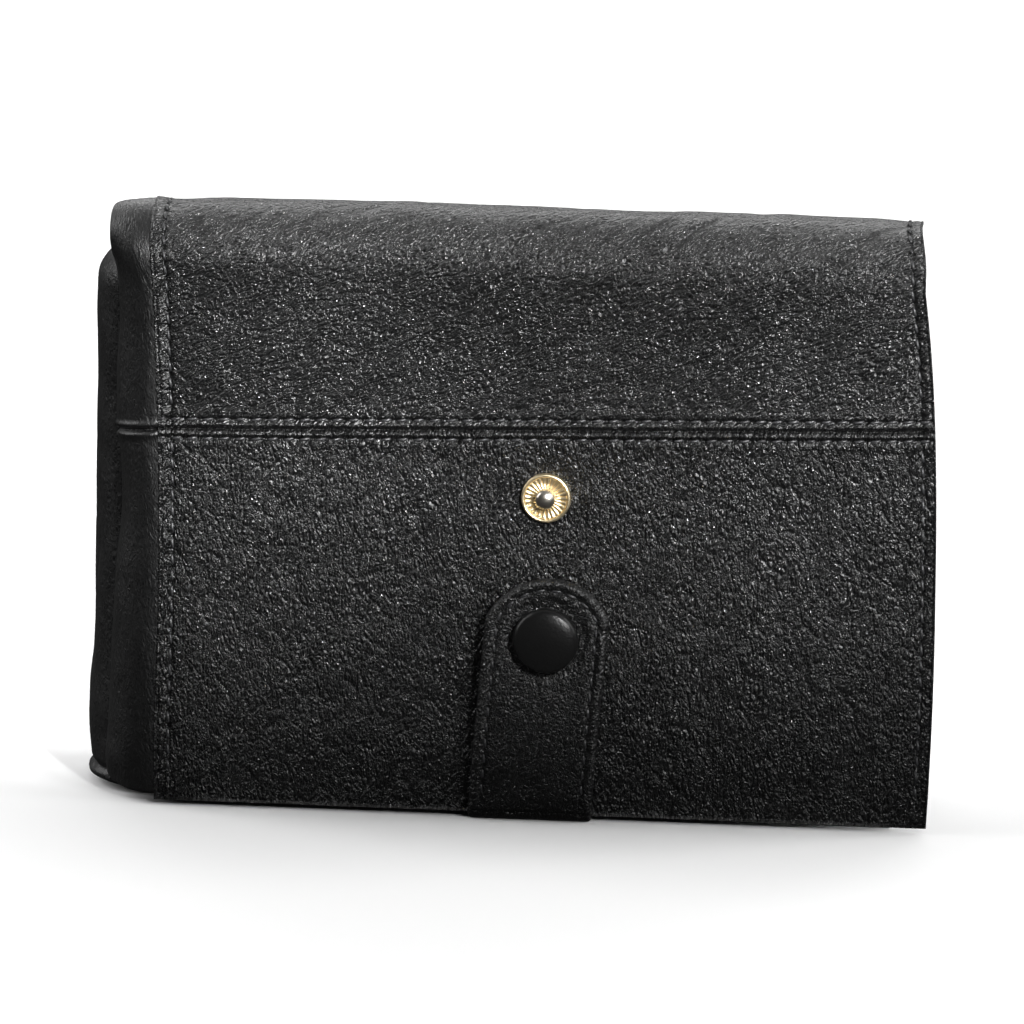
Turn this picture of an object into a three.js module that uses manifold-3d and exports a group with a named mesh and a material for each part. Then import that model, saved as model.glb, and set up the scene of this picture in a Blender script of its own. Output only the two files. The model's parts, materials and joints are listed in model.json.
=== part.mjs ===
// A soft leather jewellery case that stands on its long edge.
// A stiffened tray opens to the front (-Y). A leather lid hangs from the fold at its top front
// edge, and a strap sewn under the case folds up over the lid and snaps on the lower stud.
// Millimetres, +X to the right, +Y to the back, +Z up, the underside at z = 0.
import * as THREE from 'three';
import { mergeVertices } from 'three/addons/utils/BufferGeometryUtils.js';
import Module from 'manifold-3d';

const wasm = await Module();
wasm.setup();

// ---------- driving dimensions ----------
const HEIGHT = 140.5;
const FRONT = -27.5;            // outer face of the lid leather
const BACK = 28;                // outer face of the back leather
const PANEL_LEFT = -81;         // left edge of the front panel
const PANEL_RIGHT = 100;        // widest point of the front panel
const TOP_RIGHT = 96.5;         // right edge of the top leather at the front fold
const BACK_RIGHT = 90.5;        // right edge of the back and base leather
const EDGE_BOW = 4;             // how far the panel's right edge curves in at the top
const EDGE_BOW_HEIGHT = 50;     // where that edge is widest
const TRAY_LEFT = -86;
const TRAY_RIGHT = 82;
const SIDE_LEFT = -100;         // furthest point of the padded left end
const SIDE_RIGHT = 90;          // furthest point of the padded right end
const CUSHION_TOP = 126;
const TRAY_TOP = 130.8;         // upper face of the board under the top leather

const LEATHER = 1.5;
const BOARD = 1.8;
const LID_BOARD = 1.2;
const LINING = 0.9;
const LID_LINING = 0.7;
const TAPE = 0.6;
const GAP = 0.3;                // clearance between pieces that touch
const BASE_THICK = 4.8;

const FOLD_RADIUS = 14.5;       // outer radius of the top front fold
const BACK_FOLD_RADIUS = 6.7;
const TOP_SLOPE = 12;           // degrees the top falls towards the back
const BORDER_DROP = 0.8;        // the border strip lies this much below the panel
const BORDER_RADIUS = 12;       // plan radius of the border strip
const LID_BOTTOM = 1.9;
const SEAM_LEFT = 88.7;         // height of the cross seam at the left edge of the panel
const SEAM_RIGHT = 94.3;        // and at the right edge

const STRAP_WIDTH = 28.5;
const STRAP_X = 7.4;              // middle of the strap at the fold
const STRAP_LEAN = 0.0875;      // sideways shift per millimetre of height
const STRAP_TIP = 58;
const STRAP_SHOULDER = 48.5;
const STRAP_OUTER = 0.8;
const STRAP_LINING = 0.5;
const STRAP_THICK = STRAP_OUTER + GAP + STRAP_LINING;
const STRAP_STANDOFF = -31.8;   // inner face of the strap at the snap
const STRAP_SEWN_TOP = 32;      // top of the sewn end on the back

const STUD_RADIUS = 5.7;
const KNOB_RADIUS = 2.28;
const POST_RADIUS = 1.3;
const POST_HOLE = 1.6;
const UPPER_STUD = { x: 10.5, z: 75.8 };
const LOWER_STUD = { x: 11.6, z: 44 };
const CAP_RADIUS = 7.6;
const CAP_FRONT = -38;
const CAP_SKIN = 0.9;

const DIVIDER = 2;
const DIVIDER_FRONT = -15;
const MAIN_DIVIDER_X = -23;
const SMALL_DIVIDER_X = 28;
const SHELF_Z = 69;
const ROLL_COUNT = 6;

const POCKET = { left: -70, right: 66, bottom: 20, top: 80, thick: 1.5 };
const ZIP_TAPE = 5;
const ZIP_TEETH = 3;
const TOOTH_PITCH = 3.4;

const CENTRE_SHIFT = -(CAP_FRONT + BACK + GAP + STRAP_THICK) / 2;

// ---------- finishes ----------
const FINISHES = {
  leather: { color: 0x141416, roughness: 0.42, metalness: 0 },
  smoothLeather: { color: 0x101012, roughness: 0.36, metalness: 0 },
  board: { color: 0x1c1b1a, roughness: 0.9, metalness: 0 },
  suede: { color: 0x2b2a2c, roughness: 0.95, metalness: 0 },
  tape: { color: 0x1b1b1d, roughness: 0.85, metalness: 0 },
  gold: { color: 0xc9a254, roughness: 0.28, metalness: 1 },
  pewter: { color: 0xa9a8a4, roughness: 0.3, metalness: 1 },
};

// ---------- geometry helpers ----------
function signedVolume(geometry) {
  const p = geometry.getAttribute('position');
  const index = geometry.index.array;
  const a = new THREE.Vector3();
  const b = new THREE.Vector3();
  const c = new THREE.Vector3();
  let volume = 0;
  for (let i = 0; i < index.length; i += 3) {
    a.fromBufferAttribute(p, index[i]);
    b.fromBufferAttribute(p, index[i + 1]);
    c.fromBufferAttribute(p, index[i + 2]);
    volume += a.dot(b.cross(c)) / 6;
  }
  return volume;
}

// One closed surface with its faces outward, with no doubled points or empty triangles.
function closed(geometry) {
  const bare = new THREE.BufferGeometry();
  bare.setAttribute('position', geometry.getAttribute('position'));
  if (geometry.index) bare.setIndex(geometry.index);
  const merged = mergeVertices(bare, 1e-4);
  const index = merged.index.array;
  const kept = [];
  for (let i = 0; i < index.length; i += 3) {
    const [a, b, c] = index.slice(i, i + 3);
    if (a !== b && b !== c && c !== a) kept.push(a, b, c);
  }
  merged.setIndex(kept);
  if (signedVolume(merged) < 0) merged.setIndex(kept.reverse());
  return merged;
}

function toManifold(geometry) {
  return new wasm.Manifold(new wasm.Mesh({
    numProp: 3,
    vertProperties: new Float32Array(geometry.getAttribute('position').array),
    triVerts: new Uint32Array(geometry.index.array),
  }));
}

function fromManifold(manifold) {
  const mesh = manifold.getMesh();
  const geometry = new THREE.BufferGeometry();
  geometry.setAttribute('position', new THREE.BufferAttribute(mesh.vertProperties, 3));
  geometry.setIndex(new THREE.BufferAttribute(mesh.triVerts, 1));
  return geometry;
}

function cut(geometry, ...tools) {
  return fromManifold(tools.reduce((m, tool) => m.subtract(toManifold(tool)), toManifold(geometry)));
}

function common(geometry, other) {
  return fromManifold(toManifold(geometry).intersect(toManifold(other)));
}

function box([x0, x1], [y0, y1], [z0, z1]) {
  const geometry = new THREE.BoxGeometry(x1 - x0, y1 - y0, z1 - z0);
  geometry.translate((x0 + x1) / 2, (y0 + y1) / 2, (z0 + z1) / 2);
  return closed(geometry);
}

function arc(cx, cy, radius, fromDegrees, toDegrees, segments) {
  const points = [];
  for (let i = 0; i <= segments; i += 1) {
    const angle = THREE.MathUtils.degToRad(fromDegrees + (toDegrees - fromDegrees) * i / segments);
    points.push([cx + radius * Math.cos(angle), cy + radius * Math.sin(angle)]);
  }
  return points;
}

function extrude(points, depth) {
  const shape = new THREE.Shape(points.map(([u, v]) => new THREE.Vector2(u, v)));
  return new THREE.ExtrudeGeometry(shape, { depth, bevelEnabled: false, steps: 1 });
}

// points are (y, z)
function extrudeX(points, x0, x1) {
  const geometry = extrude(points, x1 - x0);
  const basis = new THREE.Matrix4().makeBasis(
    new THREE.Vector3(0, 1, 0), new THREE.Vector3(0, 0, 1), new THREE.Vector3(1, 0, 0));
  geometry.applyMatrix4(basis);
  geometry.translate(x0, 0, 0);
  return closed(geometry);
}

// points are (x, z)
function extrudeY(points, y0, y1) {
  const geometry = extrude(points, y1 - y0);
  const basis = new THREE.Matrix4().makeBasis(
    new THREE.Vector3(1, 0, 0), new THREE.Vector3(0, 0, 1), new THREE.Vector3(0, -1, 0));
  geometry.applyMatrix4(basis);
  geometry.translate(0, y1, 0);
  return closed(geometry);
}

// points are (x, y)
function extrudeZ(points, z0, z1) {
  const geometry = extrude(points, z1 - z0);
  geometry.translate(0, 0, z0);
  return closed(geometry);
}

// A turned piece whose axis runs to the front: profile points are (radius, distance in front of y).
function turned(profile, x, y, z, segments = 32) {
  const points = profile.map(([r, h]) => new THREE.Vector2(r, h));
  const geometry = new THREE.LatheGeometry(points, segments);
  geometry.rotateX(Math.PI);
  geometry.translate(x, y, z);
  return closed(geometry);
}

function pin(x, z, radius, y0, y1) {
  return turned([[0, 0], [radius, 0], [radius, y1 - y0], [0, y1 - y0]], x, y1, z, 24);
}

// ---------- shared outlines ----------
function rightEdge(z) {
  return PANEL_RIGHT - EDGE_BOW * ((z - EDGE_BOW_HEIGHT) / (HEIGHT - EDGE_BOW_HEIGHT)) ** 2;
}

function seamHeight(x) {
  const t = (x - PANEL_LEFT) / (PANEL_RIGHT - PANEL_LEFT);
  return SEAM_LEFT + (SEAM_RIGHT - SEAM_LEFT) * t;
}

function rightEdgePoints(z0, z1) {
  const points = [];
  const steps = 6;
  for (let i = 0; i <= steps; i += 1) {
    const z = z0 + (z1 - z0) * i / steps;
    points.push([rightEdge(z), z]);
  }
  return points;
}

const FRONT_FOLD = [FRONT + FOLD_RADIUS, HEIGHT - FOLD_RADIUS];
const BACK_FOLD = [BACK - BACK_FOLD_RADIUS, backFoldHeight()];

// Height of the middle of the back fold, so that both folds touch the sloping top.
function backFoldHeight() {
  const slope = THREE.MathUtils.degToRad(TOP_SLOPE);
  const run = BACK - BACK_FOLD_RADIUS - FRONT_FOLD[0];
  const shrink = (FOLD_RADIUS - BACK_FOLD_RADIUS) / Math.cos(slope);
  return FRONT_FOLD[1] + shrink - run * Math.tan(slope);
}

// The leather that bends over the top, seen from the end: (y, z) points, drop below the outer line.
function foldedTop(drop, thick) {
  const crest = 90 - TOP_SLOPE;
  return [
    ...arc(...BACK_FOLD, BACK_FOLD_RADIUS - drop, 0, crest, 6),
    ...arc(...FRONT_FOLD, FOLD_RADIUS - drop, crest, 180, 8),
    ...arc(...FRONT_FOLD, FOLD_RADIUS - drop - thick, 180, crest, 8),
    ...arc(...BACK_FOLD, BACK_FOLD_RADIUS - drop - thick, crest, 0, 6),
  ];
}

const BORDER_RIGHT = PANEL_LEFT - GAP;
const BORDER_FRONT = FRONT + BORDER_DROP;
const BORDER_CENTRE_Y = BORDER_FRONT + BORDER_RADIUS;

// ---------- the case ----------
function caseParts(add) {
  const back = { outer: BACK - LEATHER, board: BACK - LEATHER - GAP - BOARD };
  const boardY = [-21.5, back.board - GAP];
  const baseTop = BASE_THICK + GAP;
  const liningBase = baseTop + BOARD + GAP;
  const topBoard = [TRAY_TOP - BOARD, TRAY_TOP];
  const liningTop = topBoard[0] - GAP - LINING;
  const liningBack = boardY[1] - LINING;
  const innerLeft = TRAY_LEFT + BOARD + GAP;
  const innerRight = TRAY_RIGHT - BOARD - GAP;
  const sideZ = [baseTop + BOARD + GAP, topBoard[0] - GAP];
  const channel = STRAP_THICK + GAP;
  const strapSide = STRAP_WIDTH / 2 + 2 * GAP;

  const base = box([TRAY_LEFT, BACK_RIGHT], [-22.3, BACK], [0, BASE_THICK]);
  const strapSlot = box(
    [STRAP_X - strapSide, STRAP_X + strapSide], [-30, BACK + 1], [-1, channel]);
  add('base_cover', cut(base, strapSlot), 'leather');
  add('base_board', box([TRAY_LEFT, TRAY_RIGHT], boardY, [baseTop, baseTop + BOARD]), 'board');
  const backZ = [baseTop, BACK_FOLD[1] - GAP];
  add('back_cover', box([TRAY_LEFT, BACK_RIGHT], [back.outer, BACK], backZ), 'leather');
  add('back_board',
    box([TRAY_LEFT, TRAY_RIGHT], [back.board, back.board + BOARD], backZ), 'board');

  const topPlan = extrudeZ([
    [PANEL_LEFT, FRONT - 1],
    [TOP_RIGHT, FRONT - 1],
    [TOP_RIGHT, FRONT_FOLD[0]],
    [BACK_RIGHT, BACK + 1],
    [PANEL_LEFT, BACK + 1],
  ], 0, HEIGHT + 1);
  const topStrip = extrudeX(foldedTop(0, LEATHER), PANEL_LEFT, TOP_RIGHT);
  add('top_cover', common(topStrip, topPlan), 'leather');
  const borderStrip = extrudeX(
    foldedTop(BORDER_DROP, LEATHER), BORDER_RIGHT - BORDER_RADIUS, BORDER_RIGHT);
  const borderPlan = extrudeZ([
    [BORDER_RIGHT, BACK],
    [BORDER_RIGHT - BORDER_RADIUS, BACK],
    ...arc(BORDER_RIGHT, BORDER_CENTRE_Y, BORDER_RADIUS, 180, 270, 6),
  ], 0, HEIGHT);
  add('top_border', common(borderStrip, borderPlan), 'smoothLeather');
  add('top_board', box([PANEL_LEFT, TRAY_RIGHT], [-18.5, 21], topBoard), 'board');

  add('left_board', box([TRAY_LEFT, TRAY_LEFT + BOARD], boardY, sideZ), 'board');
  add('right_board', box([TRAY_RIGHT - BOARD, TRAY_RIGHT], boardY, sideZ), 'board');
  const inside = [innerLeft, innerRight];
  add('lining_back', box(inside, [liningBack, boardY[1]], sideZ), 'suede');
  const shortY = [boardY[0], liningBack - GAP];
  add('lining_base', box(inside, shortY, [liningBase, liningBase + LINING]), 'suede');
  add('lining_top', box(inside, shortY, [liningTop, liningTop + LINING]), 'suede');
  const liningZ = [liningBase + LINING + GAP, liningTop - GAP];
  add('lining_left', box([innerLeft, innerLeft + LINING], shortY, liningZ), 'suede');
  add('lining_right', box([innerRight - LINING, innerRight], shortY, liningZ), 'suede');

  const leftEnd = cushion(TRAY_LEFT - GAP, SIDE_LEFT, [-16, 26], [2, CUSHION_TOP]);
  const rightEnd = cushion(TRAY_RIGHT + GAP, SIDE_RIGHT, [-20, 26], [baseTop, CUSHION_TOP]);
  add('left_cushion', leftEnd, 'smoothLeather');
  add('right_cushion', rightEnd, 'smoothLeather');

  const deep = [DIVIDER_FRONT, shortY[1]];
  const mainX = [MAIN_DIVIDER_X, MAIN_DIVIDER_X + DIVIDER];
  add('divider_main', box(mainX, deep, liningZ), 'suede');
  const shelfX = [mainX[1] + GAP, innerRight - LINING - GAP];
  add('divider_shelf', box(shelfX, deep, [SHELF_Z, SHELF_Z + DIVIDER]), 'suede');
  const smallX = [SMALL_DIVIDER_X, SMALL_DIVIDER_X + DIVIDER];
  add('divider_small', box(smallX, deep, [liningZ[0], SHELF_Z - GAP]), 'suede');

  const pitch = (liningZ[1] - liningZ[0]) / ROLL_COUNT;
  const rollRadius = pitch / 2 - GAP / 2;
  for (let i = 0; i < ROLL_COUNT; i += 1) {
    const middle = [shortY[1] - rollRadius, liningZ[0] + pitch * (i + 0.5)];
    const outline = arc(...middle, rollRadius, 0, 337.5, 15);
    const rollX = [innerLeft + LINING + GAP, mainX[0] - GAP];
    add(`ring_roll_${i + 1}`, extrudeX(outline, ...rollX), 'suede');
  }
}

// A padded end: flat against the tray, bulging outward along an arc in plan.
function cushion(flatX, bulgeX, [y0, y1], [z0, z1]) {
  const sagitta = Math.abs(bulgeX - flatX);
  const half = (y1 - y0) / 2;
  const radius = (half * half + sagitta * sagitta) / (2 * sagitta);
  const sweep = THREE.MathUtils.radToDeg(Math.asin(half / radius));
  const outward = bulgeX < flatX ? 180 : 0;
  const centreX = bulgeX < flatX ? bulgeX + radius : bulgeX - radius;
  const plan = arc(centreX, (y0 + y1) / 2, radius, outward - sweep, outward + sweep, 12);
  return extrudeZ(plan, z0, z1);
}

// ---------- the lid ----------
function lidParts(add) {
  const inner = FRONT + LEATHER;
  const tapeY = [inner + GAP, inner + GAP + TAPE];
  const boardY = [tapeY[1] + GAP, tapeY[1] + GAP + LID_BOARD];
  const liningY = [boardY[1] + GAP, boardY[1] + GAP + LID_LINING];
  const lidTop = HEIGHT - FOLD_RADIUS - GAP;
  const half = GAP / 2;

  const lower = extrudeY([
    [PANEL_LEFT, LID_BOTTOM],
    ...rightEdgePoints(LID_BOTTOM, SEAM_RIGHT - half),
    [PANEL_LEFT, SEAM_LEFT - half],
  ], FRONT, inner);
  const upper = extrudeY([
    [PANEL_LEFT, SEAM_LEFT + half],
    ...rightEdgePoints(SEAM_RIGHT + half, lidTop),
    [PANEL_LEFT, lidTop],
  ], FRONT, inner);
  const studHole = (stud) => pin(stud.x, stud.z, POST_HOLE, FRONT - 1, inner + 1);
  add('lid_lower', cut(lower, studHole(UPPER_STUD), studHole(LOWER_STUD)), 'leather');
  add('lid_upper', upper, 'leather');

  const tapeLeft = PANEL_LEFT + 3;
  const tapeRight = TOP_RIGHT - 1;
  const tapeHalf = 5;
  add('seam_tape', extrudeY([
    [tapeLeft, seamHeight(tapeLeft) - tapeHalf],
    [tapeRight, seamHeight(tapeRight) - tapeHalf],
    [tapeRight, seamHeight(tapeRight) + tapeHalf],
    [tapeLeft, seamHeight(tapeLeft) + tapeHalf],
  ], ...tapeY), 'tape');
  add('lid_board', box([PANEL_LEFT + 1, 94], boardY, [LID_BOTTOM + 2, lidTop - 2]), 'board');
  add('lid_lining', box([PANEL_LEFT + 2, 93], liningY, [LID_BOTTOM + 2, lidTop - 2]), 'suede');

  const quarter = [
    ...arc(BORDER_RIGHT, BORDER_CENTRE_Y, BORDER_RADIUS, 180, 270, 8),
    ...arc(BORDER_RIGHT, BORDER_CENTRE_Y, BORDER_RADIUS - LEATHER, 270, 180, 8),
  ];
  add('lid_border_lower', extrudeZ(quarter, LID_BOTTOM, SEAM_LEFT - half), 'smoothLeather');
  add('lid_border_upper', extrudeZ(quarter, SEAM_LEFT + half, lidTop), 'smoothLeather');

  studParts(add, 'upper', UPPER_STUD, tapeY);
  studParts(add, 'lower', LOWER_STUD, tapeY);
  pocketParts(add, liningY[1] + GAP);
}

// A snap stud: a rimmed disc on the leather, a ball knob through it, and a washer behind.
function studParts(add, name, { x, z }, washerY) {
  const face = FRONT - GAP;
  add(`stud_${name}_disc`, turned([
    [POST_HOLE, 0], [5.5, 0], [STUD_RADIUS, 0.25], [STUD_RADIUS, 0.9], [5.45, 1.2],
    [4.95, 1.2], [4.7, 0.85], [2.9, 0.7], [POST_HOLE, 0.7], [POST_HOLE, 0],
  ], x, face, z), 'gold');
  const postLength = washerY[1] - GAP / 2 - face;
  add(`stud_${name}_knob`, turned([
    [0, -postLength], [POST_RADIUS, -postLength], [POST_RADIUS, 0.95], [KNOB_RADIUS - 0.25, 1.1],
    [KNOB_RADIUS, 1.6], [KNOB_RADIUS, 2.3], [1.9, 2.95], [1.1, 3.3], [0, 3.4],
  ], x, face, z, 24), 'pewter');
  add(`stud_${name}_washer`, turned([
    [POST_HOLE, 0], [4.5, 0], [4.5, TAPE], [POST_HOLE, TAPE], [POST_HOLE, 0],
  ], x, washerY[1], z, 24), 'pewter');
}

// A flat pocket inside the lid, closed along its top by a zip.
function pocketParts(add, y) {
  const { left, right, bottom, top, thick } = POCKET;
  const layer = [y, y + thick];
  add('lid_pocket', box([left, right], layer, [bottom, top]), 'suede');
  const lowerTape = [top + GAP, top + GAP + ZIP_TAPE];
  const teeth = [lowerTape[1] + GAP, lowerTape[1] + GAP + ZIP_TEETH];
  const upperTape = [teeth[1] + GAP, teeth[1] + GAP + ZIP_TAPE];
  add('zip_tape_lower', box([left, right], layer, lowerTape), 'tape');
  add('zip_tape_upper', box([left, right], layer, upperTape), 'tape');
  add('zip_teeth', toothStrip(left + 1, right - 1, layer, teeth), 'gold');
}

// A strip with square teeth along its inner face.
function toothStrip(left, right, [y0, y1], [z0, z1]) {
  const root = y0 + 0.6;
  const outline = [[left, y0]];
  const count = Math.floor((right - left) / TOOTH_PITCH);
  outline.push([right, y0]);
  outline.push([right, root]);
  for (let i = count - 1; i >= 0; i -= 1) {
    const x = left + TOOTH_PITCH * i;
    const gapSide = TOOTH_PITCH / 2;
    outline.push([x + TOOTH_PITCH - 0.4, root]);
    outline.push([x + TOOTH_PITCH - 0.4, y1]);
    outline.push([x + TOOTH_PITCH - 0.4 - gapSide, y1]);
    outline.push([x + TOOTH_PITCH - 0.4 - gapSide, root]);
  }
  outline.push([left, root]);
  return extrudeZ(outline, z0, z1);
}

const ZIP_CENTRE = POCKET.top + GAP + ZIP_TAPE + GAP + ZIP_TEETH / 2;
const SLIDER_X = -60;

function zipPullParts(add, y) {
  const face = y + POCKET.thick + GAP;
  const sliderHalf = 3.5;
  const bottom = ZIP_CENTRE - 3.7;
  add('zip_slider', extrudeY([
    [SLIDER_X - sliderHalf, bottom],
    [SLIDER_X + sliderHalf - 1, bottom + 0.8],
    [SLIDER_X + sliderHalf, ZIP_CENTRE],
    [SLIDER_X + sliderHalf - 1, ZIP_CENTRE + 2.9],
    [SLIDER_X - sliderHalf, ZIP_CENTRE + 3.7],
  ], face, face + 1.9), 'gold');
  const top = bottom - GAP;
  const tip = top - 14;
  add('zip_puller', extrudeY([
    [SLIDER_X + 1.3, top],
    [SLIDER_X - 1.3, top],
    ...arc(SLIDER_X, tip, 2.4, 180, 360, 8),
  ], face + 0.2, face + 1.4), 'gold');
}

// ---------- the strap ----------
function strapCentre(z) {
  return STRAP_X + STRAP_LEAN * z;
}

// The strap's outline from the front: straight sides and a rounded tip, (x, z) points.
function strapOutline(inset) {
  const half = STRAP_WIDTH / 2 - inset;
  const rise = STRAP_TIP - STRAP_SHOULDER;
  const radius = (STRAP_WIDTH / 2 * STRAP_WIDTH / 2 + rise * rise) / (2 * rise);
  const sweep = THREE.MathUtils.radToDeg(Math.asin(half / (radius - inset)));
  const tip = arc(0, STRAP_TIP - radius, radius - inset, 90 - sweep, 90 + sweep, 12);
  const upright = [[-half, -5], [half, -5], ...tip];
  return upright.map(([x, z]) => [x + strapCentre(z), z]);
}

// Distance of the strap's inner face from the front plane at a height.
function strapInner(z) {
  const start = FRONT - 0.4;
  const t = Math.min(1, Math.max(0, z / 34));
  return start + (STRAP_STANDOFF - start) * Math.sin(t * Math.PI / 2);
}

// A layer of the rising part, between two distances in front of its inner face: (y, z) points.
function risingLayer(near, far) {
  const heights = [1.9, 8, 15, 22, 29, 36, 60];
  const inner = heights.map((z) => [strapInner(z) - near, z]);
  const outer = heights.map((z) => [strapInner(z) - far, z]).reverse();
  return [...inner, ...outer];
}

// A layer of the sewn part, under the base and up the back: (y, z) points.
function sewnLayer(low, high) {
  const depth = STRAP_THICK;
  const nearBack = BACK + GAP + depth - high;
  const farBack = BACK + GAP + depth - low;
  return [
    [FRONT - 0.1, low],
    [farBack, low],
    [farBack, STRAP_SEWN_TOP],
    [nearBack, STRAP_SEWN_TOP],
    [nearBack, high],
    [FRONT - 0.1, high],
  ];
}

function strapTab(near, far, inset) {
  const sheet = extrudeX(risingLayer(near, far), -40, 60);
  const outline = extrudeY(strapOutline(inset), -60, 0);
  const hole = pin(LOWER_STUD.x, LOWER_STUD.z, POST_HOLE, -60, 0);
  return cut(common(sheet, outline), hole);
}

function sewnStrapParts(add) {
  const half = STRAP_WIDTH / 2;
  add('strap_outer_sewn',
    extrudeX(sewnLayer(0, STRAP_OUTER), STRAP_X - half, STRAP_X + half), 'leather');
  add('strap_lining_sewn',
    extrudeX(sewnLayer(STRAP_OUTER + GAP, STRAP_THICK), STRAP_X - half + 0.5,
      STRAP_X + half - 0.5), 'smoothLeather');
}

function strapParts(add) {
  add('strap_lining_tab', strapTab(0, STRAP_LINING, 0.5), 'smoothLeather');
  add('strap_outer_tab', strapTab(STRAP_LINING + GAP, STRAP_THICK, 0), 'leather');

  const { x, z } = LOWER_STUD;
  const strapFace = STRAP_STANDOFF - STRAP_THICK;
  const capBack = strapFace - GAP;
  const depth = capBack - CAP_FRONT;
  const inner = CAP_RADIUS - CAP_SKIN;
  const dome = depth - CAP_SKIN;
  add('cap_cover', turned([
    [inner, 0], [CAP_RADIUS - 0.4, 0], [CAP_RADIUS, 0.6], [CAP_RADIUS, 1.4],
    [CAP_RADIUS - 0.9, 2.5], [5.2, depth - 0.6], [2.8, depth - 0.1], [0, depth],
    [0, dome], [2.6, dome - 0.1], [4.8, dome - 0.6], [inner - 0.6, 1.7], [inner, 1], [inner, 0],
  ], x, capBack, z), 'smoothLeather');
  const shell = inner - GAP;
  const postBack = STRAP_THICK + 2 * GAP;
  add('cap_shell', turned([
    [0, -postBack], [POST_RADIUS, -postBack], [POST_RADIUS, 0], [shell, 0], [shell, 0.8],
    [shell - 0.7, 1.35], [4.5, dome - GAP - 0.7], [2.5, dome - GAP - 0.2], [0, dome - GAP],
  ], x, capBack, z), 'pewter');
  const socketFace = STRAP_STANDOFF + GAP;
  add('snap_socket', turned([
    [KNOB_RADIUS + 0.35, 0], [5.2, 0], [5.5, -0.4], [5.5, -1.4], [5, -1.9],
    [KNOB_RADIUS + 0.35, -1.9], [KNOB_RADIUS + 0.35, 0],
  ], x, socketFace, z), 'gold');
}

// ---------- assembly ----------
const group = new THREE.Group();
group.name = 'jewelry_case';

function addPart(name, geometry, finish) {
  geometry.translate(0, CENTRE_SHIFT, 0);
  geometry.deleteAttribute('normal');
  const flat = geometry.toNonIndexed();
  flat.computeVertexNormals();
  const mesh = new THREE.Mesh(flat, new THREE.MeshStandardMaterial(FINISHES[finish]));
  mesh.name = name;
  group.add(mesh);
}

caseParts(addPart);
sewnStrapParts(addPart);
lidParts(addPart);
zipPullParts(addPart, FRONT + LEATHER + GAP + TAPE + GAP + LID_BOARD + GAP + LID_LINING + GAP);
strapParts(addPart);

export default group;
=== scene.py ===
# A soft black leather jewelry case, closed by a snap strap, on a pale floor.
import json
import math

import bmesh
import bpy
import numpy as np
from mathutils import Matrix, Vector


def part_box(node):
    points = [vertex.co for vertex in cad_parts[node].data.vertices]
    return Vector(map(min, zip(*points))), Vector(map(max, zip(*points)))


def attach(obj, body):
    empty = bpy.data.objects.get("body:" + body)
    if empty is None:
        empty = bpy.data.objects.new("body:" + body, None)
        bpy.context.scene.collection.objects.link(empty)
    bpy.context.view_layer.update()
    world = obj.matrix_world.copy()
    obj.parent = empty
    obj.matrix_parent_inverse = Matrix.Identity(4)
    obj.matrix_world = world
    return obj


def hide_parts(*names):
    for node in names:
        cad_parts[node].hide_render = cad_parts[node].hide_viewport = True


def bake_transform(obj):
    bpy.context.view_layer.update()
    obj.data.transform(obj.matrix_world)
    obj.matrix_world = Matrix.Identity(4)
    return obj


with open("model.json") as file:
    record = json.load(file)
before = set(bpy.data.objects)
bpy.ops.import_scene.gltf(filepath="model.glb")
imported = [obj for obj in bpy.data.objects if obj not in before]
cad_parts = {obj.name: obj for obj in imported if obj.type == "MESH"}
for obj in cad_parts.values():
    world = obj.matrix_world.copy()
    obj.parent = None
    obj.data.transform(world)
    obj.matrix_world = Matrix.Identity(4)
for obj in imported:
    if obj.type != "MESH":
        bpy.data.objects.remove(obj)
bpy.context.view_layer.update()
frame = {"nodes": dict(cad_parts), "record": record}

# ---------- measures, in millimetres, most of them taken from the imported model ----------
MM = 0.001


def corners(node):
    """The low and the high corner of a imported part's box."""
    lo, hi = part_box(node)
    return np.array(lo) / MM, np.array(hi) / MM


LOWER_LO, LOWER_HI = corners("lid_lower")
UPPER_HI = corners("lid_upper")[1]
TOP_HI = corners("top_cover")[1]
BACK_HI = corners("back_cover")[1]
BASE_LO = corners("base_cover")[0]
BORDER_LO, BORDER_HI = corners("lid_border_lower")
TAB_LO, TAB_HI = corners("strap_outer_tab")
SEWN_LO, SEWN_HI = corners("strap_outer_sewn")
CAP_LO, CAP_HI = corners("cap_cover")
STUD_LO, STUD_HI = corners("stud_upper_disc")
KNOB_LO, KNOB_HI = corners("stud_upper_knob")
LEFT_PAD_LO, LEFT_PAD_HI = corners("left_cushion")
RIGHT_PAD_LO, RIGHT_PAD_HI = corners("right_cushion")

# the leather and its stitches
GAP = 0.3
LEATHER = 1.5
PITCH = 3.75
STITCH_LENGTH = 2.7
STITCH_RADIUS = 0.38
STITCH_SLANT = math.radians(8)
STITCH_SINK = 0.02
SEAM_STITCH = 2.25
EDGE_STITCH = 3.1

# the wrap: up the front, over the fold, down the slope of the top and over the back's fold
FRONT = LOWER_LO[1]
BACK = BACK_HI[1]
TOP = TOP_HI[2]
LEFT = LOWER_LO[0]
RIGHT = LOWER_HI[0]
BACK_RIGHT = BACK_HI[0]
SEAM_LEFT = BORDER_HI[2]
SEAM_RIGHT = LOWER_HI[2]
SLOPE = math.radians(12)
CREST = math.pi / 2 + SLOPE
FOLD_START = UPPER_HI[2] + GAP
FOLD = TOP - FOLD_START
FOLD_END = FOLD_START + FOLD * CREST
BACK_FOLD = 6.7
BACK_FOLD_Z = BACK_HI[2] + GAP
TOP_DEPTH = (BACK - BACK_FOLD) - (FRONT + FOLD)
TOP_RUN = (TOP_DEPTH - (FOLD - BACK_FOLD) * math.sin(SLOPE)) / math.cos(SLOPE)
BACK_FOLD_START = FOLD_END + TOP_RUN
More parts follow.
